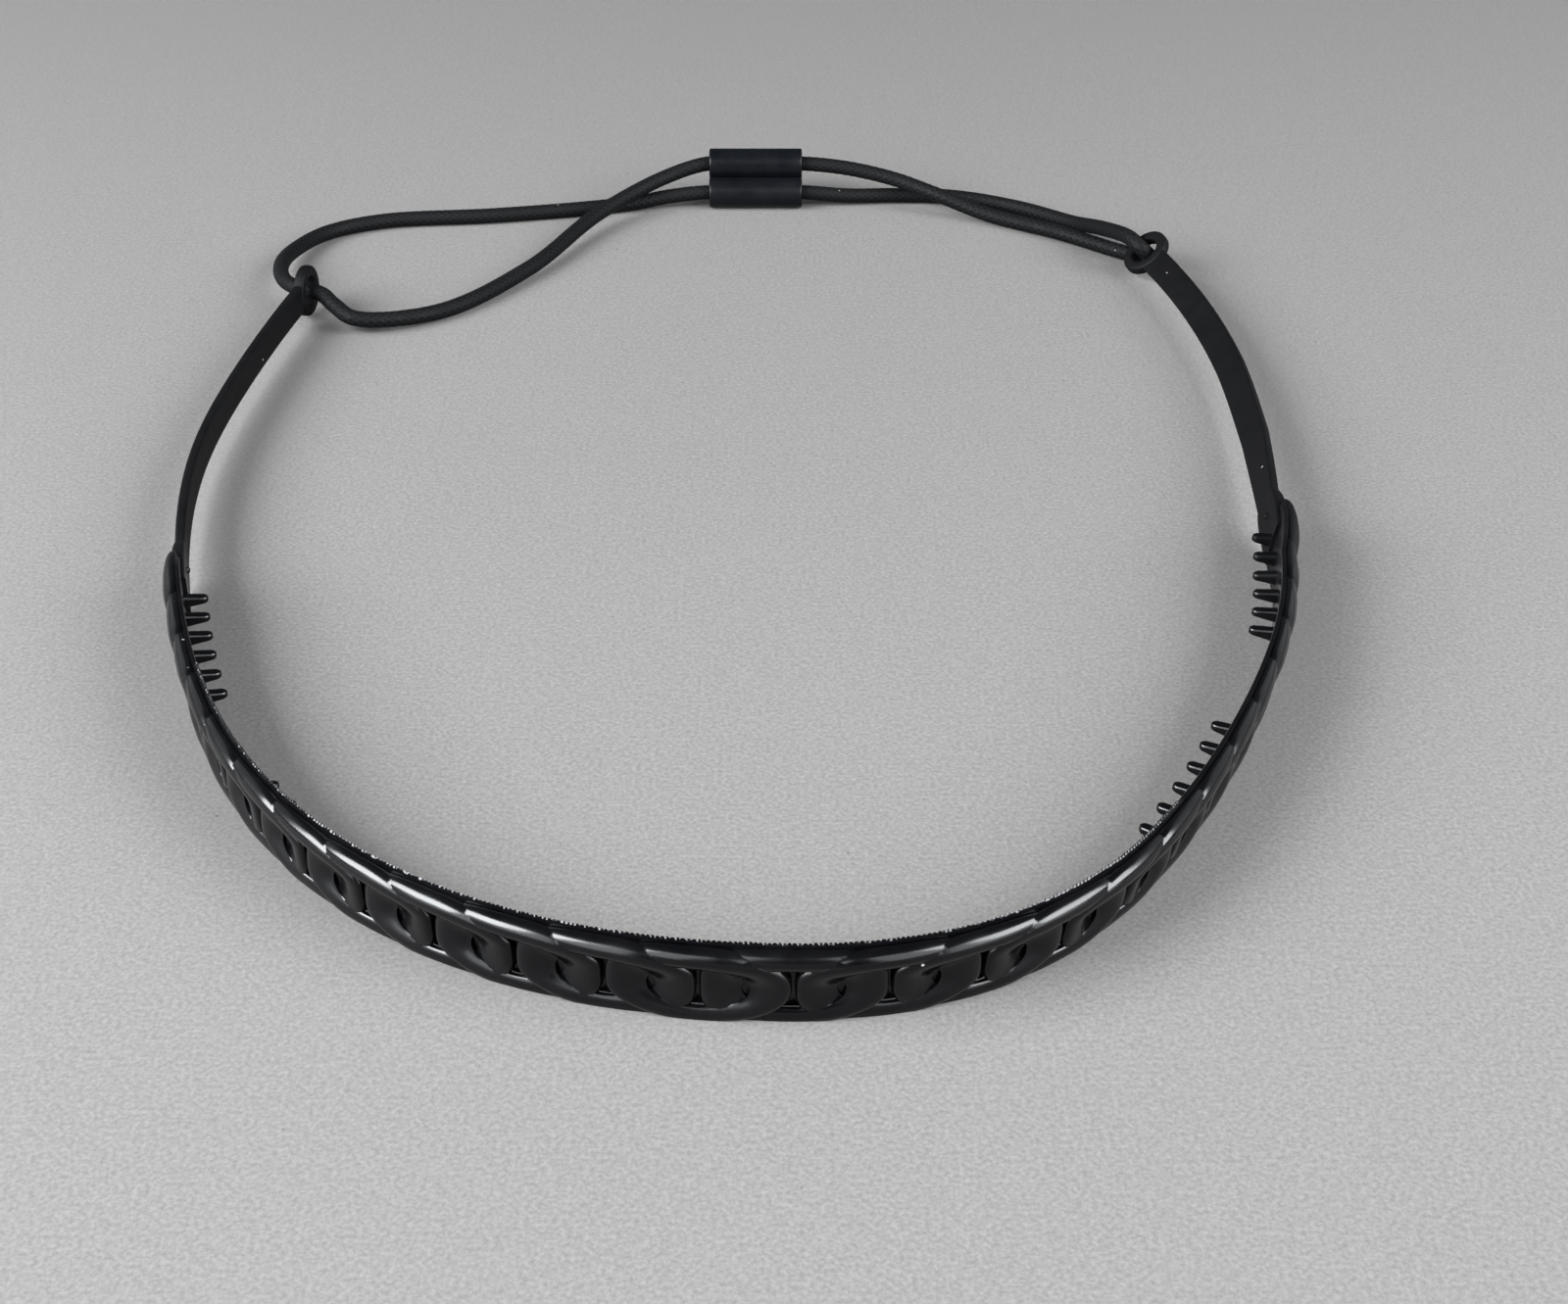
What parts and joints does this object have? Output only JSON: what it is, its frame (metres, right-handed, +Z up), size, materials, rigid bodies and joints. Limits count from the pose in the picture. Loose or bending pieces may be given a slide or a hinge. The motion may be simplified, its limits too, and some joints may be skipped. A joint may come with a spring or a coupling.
{
  "type": "chain headband",
  "caption": "Black moulded stretch headband with a raised curb-chain pattern, comb teeth inside, narrow strap tails with eyelets, and an elastic cord loop gathered by a stopper.",
  "frame": {"origin": "on the floor, under the middle of the band's box, with the cord and its stopper left out", "axes": "+X to the right and +Y from the front of the band towards its open ends, as the picture shows it lying; +Z up from the floor"},
  "size_m": [0.1333, 0.1917, 0.0083],
  "materials": {
    "band": "glossy black moulded plastic",
    "elastic_cord": "matte black braided elastic",
    "cord_stopper": "satin black plastic"
  },
  "bodies": {
    "root": {"band": "band", "elastic_cord": "elastic_cord", "cord_stopper": "cord_stopper"}
  },
  "joints": []
}
